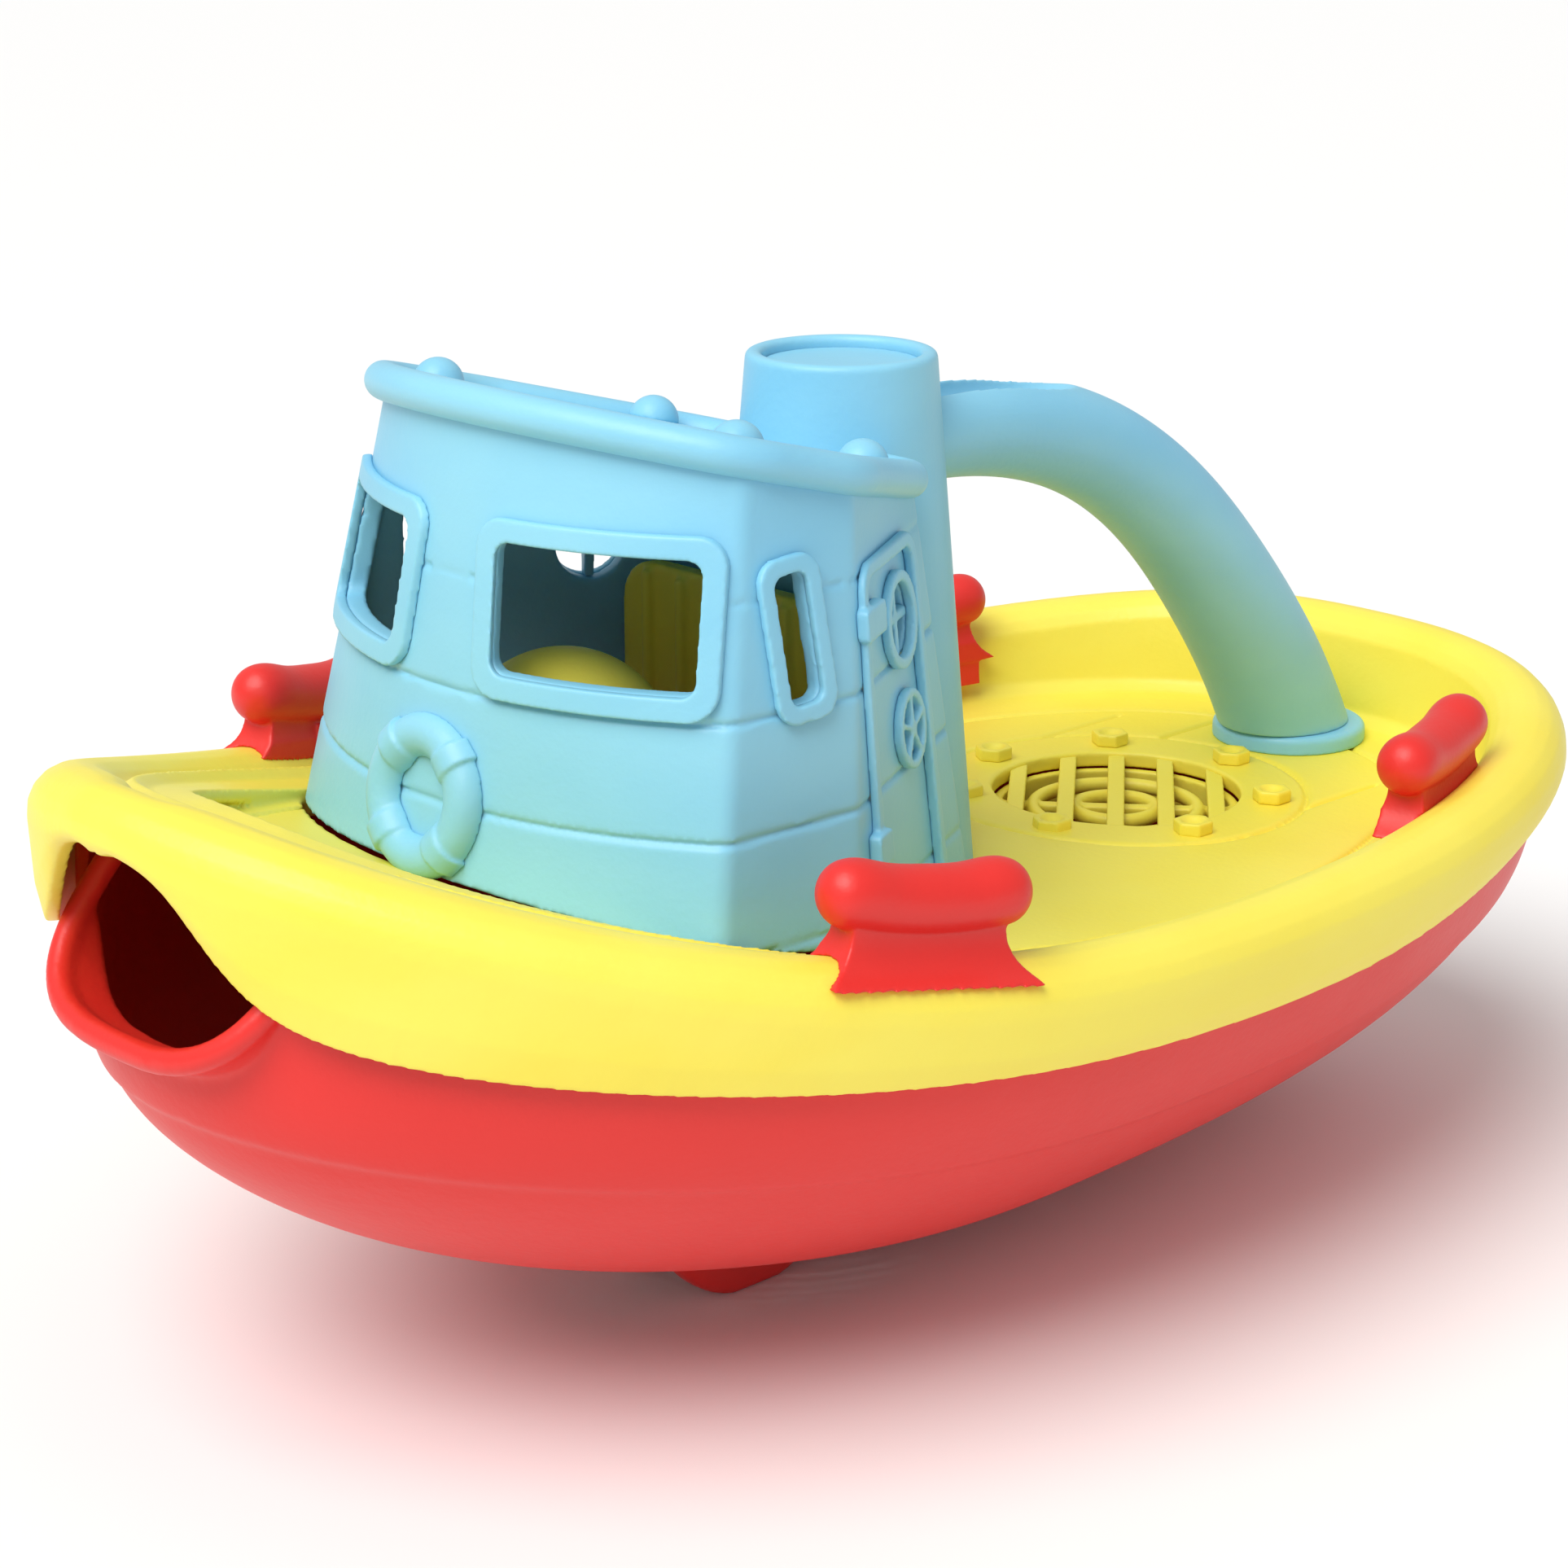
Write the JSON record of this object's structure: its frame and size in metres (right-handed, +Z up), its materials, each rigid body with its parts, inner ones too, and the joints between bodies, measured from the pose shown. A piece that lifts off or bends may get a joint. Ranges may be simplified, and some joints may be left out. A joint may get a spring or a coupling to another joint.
{
  "type": "toy tugboat",
  "caption": "Moulded plastic toy tugboat with a pouring spout at the bow, a raised deck, a windowed cabin, a funnel and a curved carrying handle.",
  "frame": {"origin": "centre of the bounding box in plan, on the surface the keel fins stand on", "axes": "+X towards the bow, +Y to port, +Z up"},
  "size_m": [0.256, 0.152, 0.135],
  "materials": {
    "red_plastic": "satin",
    "yellow_plastic": "satin",
    "blue_plastic": "satin"
  },
  "bodies": {
    "root": {"cabin": "blue_plastic", "cleat_bow_port": "red_plastic", "cleat_bow_starboard": "red_plastic", "cleat_stern_port": "red_plastic", "cleat_stern_starboard": "red_plastic", "deck": "yellow_plastic", "door_frame_port": "blue_plastic", "door_frame_starboard": "blue_plastic", "funnel": "blue_plastic", "funnel_cap": "blue_plastic", "grate_bars": "yellow_plastic", "grate_rings": "yellow_plastic", "hand_wheel_port": "blue_plastic", "hand_wheel_starboard": "blue_plastic", "handle": "blue_plastic", "handle_foot": "blue_plastic", "hatch_bolts": "yellow_plastic", "helm": "yellow_plastic", "hull": "red_plastic", "lifebuoy": "blue_plastic", "porthole_bars_port": "blue_plastic", "porthole_bars_starboard": "blue_plastic", "porthole_frame_port": "blue_plastic", "porthole_frame_starboard": "blue_plastic", "roof": "blue_plastic", "roof_lugs": "blue_plastic", "roof_rail": "blue_plastic", "seat": "yellow_plastic", "window_frame_bow_port": "blue_plastic", "window_frame_bow_starboard": "blue_plastic", "window_frame_side_port": "blue_plastic", "window_frame_side_starboard": "blue_plastic"}
  },
  "joints": []
}
